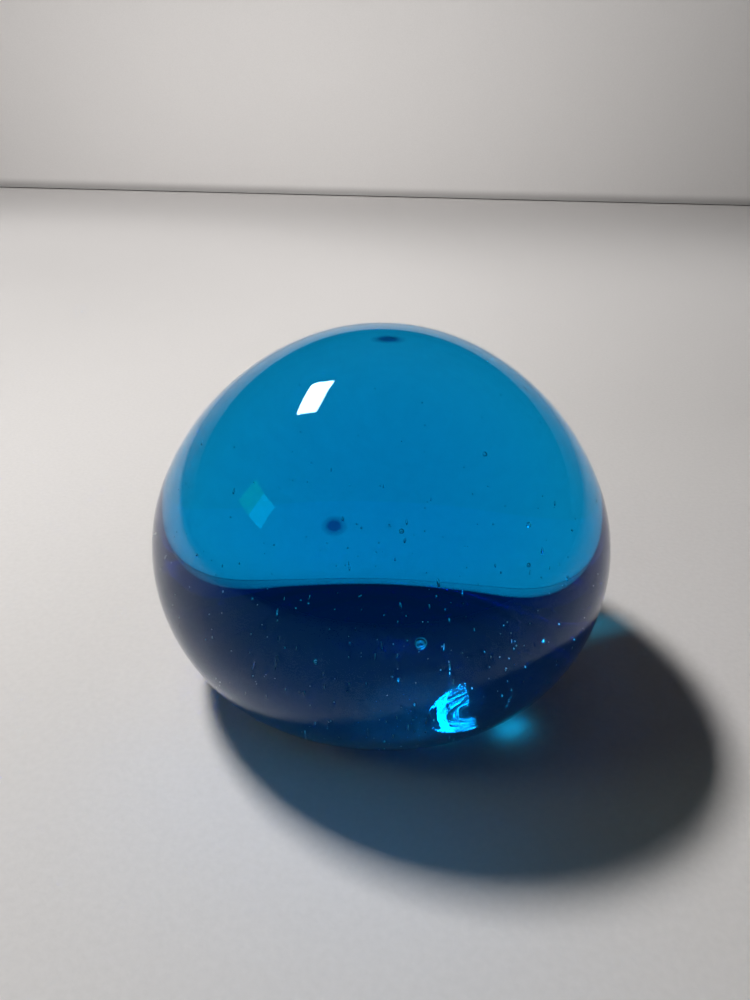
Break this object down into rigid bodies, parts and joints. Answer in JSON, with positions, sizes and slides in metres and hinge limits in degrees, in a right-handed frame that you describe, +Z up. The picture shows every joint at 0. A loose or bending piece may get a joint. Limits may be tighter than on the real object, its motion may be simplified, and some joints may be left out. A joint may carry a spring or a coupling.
{
  "type": "glass dome paperweight",
  "caption": "Solid blue glass dome paperweight with a flat resting face, a rounded foot and air bubbles trapped in the glass.",
  "frame": {"origin": "centre of the flat base, on the surface that the paperweight rests on", "axes": "+Z up through the crown, +Y towards the back, +X to the right"},
  "size_m": [0.08, 0.08, 0.0624],
  "materials": {
    "blue_glass": "gloss",
    "trapped_air": "gloss"
  },
  "bodies": {
    "root": {"glass_body": "blue_glass", "large_bubble": "trapped_air", "shoulder_bubbles": "trapped_air", "belly_bubbles": "trapped_air", "bubble_string": "trapped_air", "thread_bubbles": "trapped_air", "seed_bubbles": "trapped_air"}
  },
  "joints": []
}
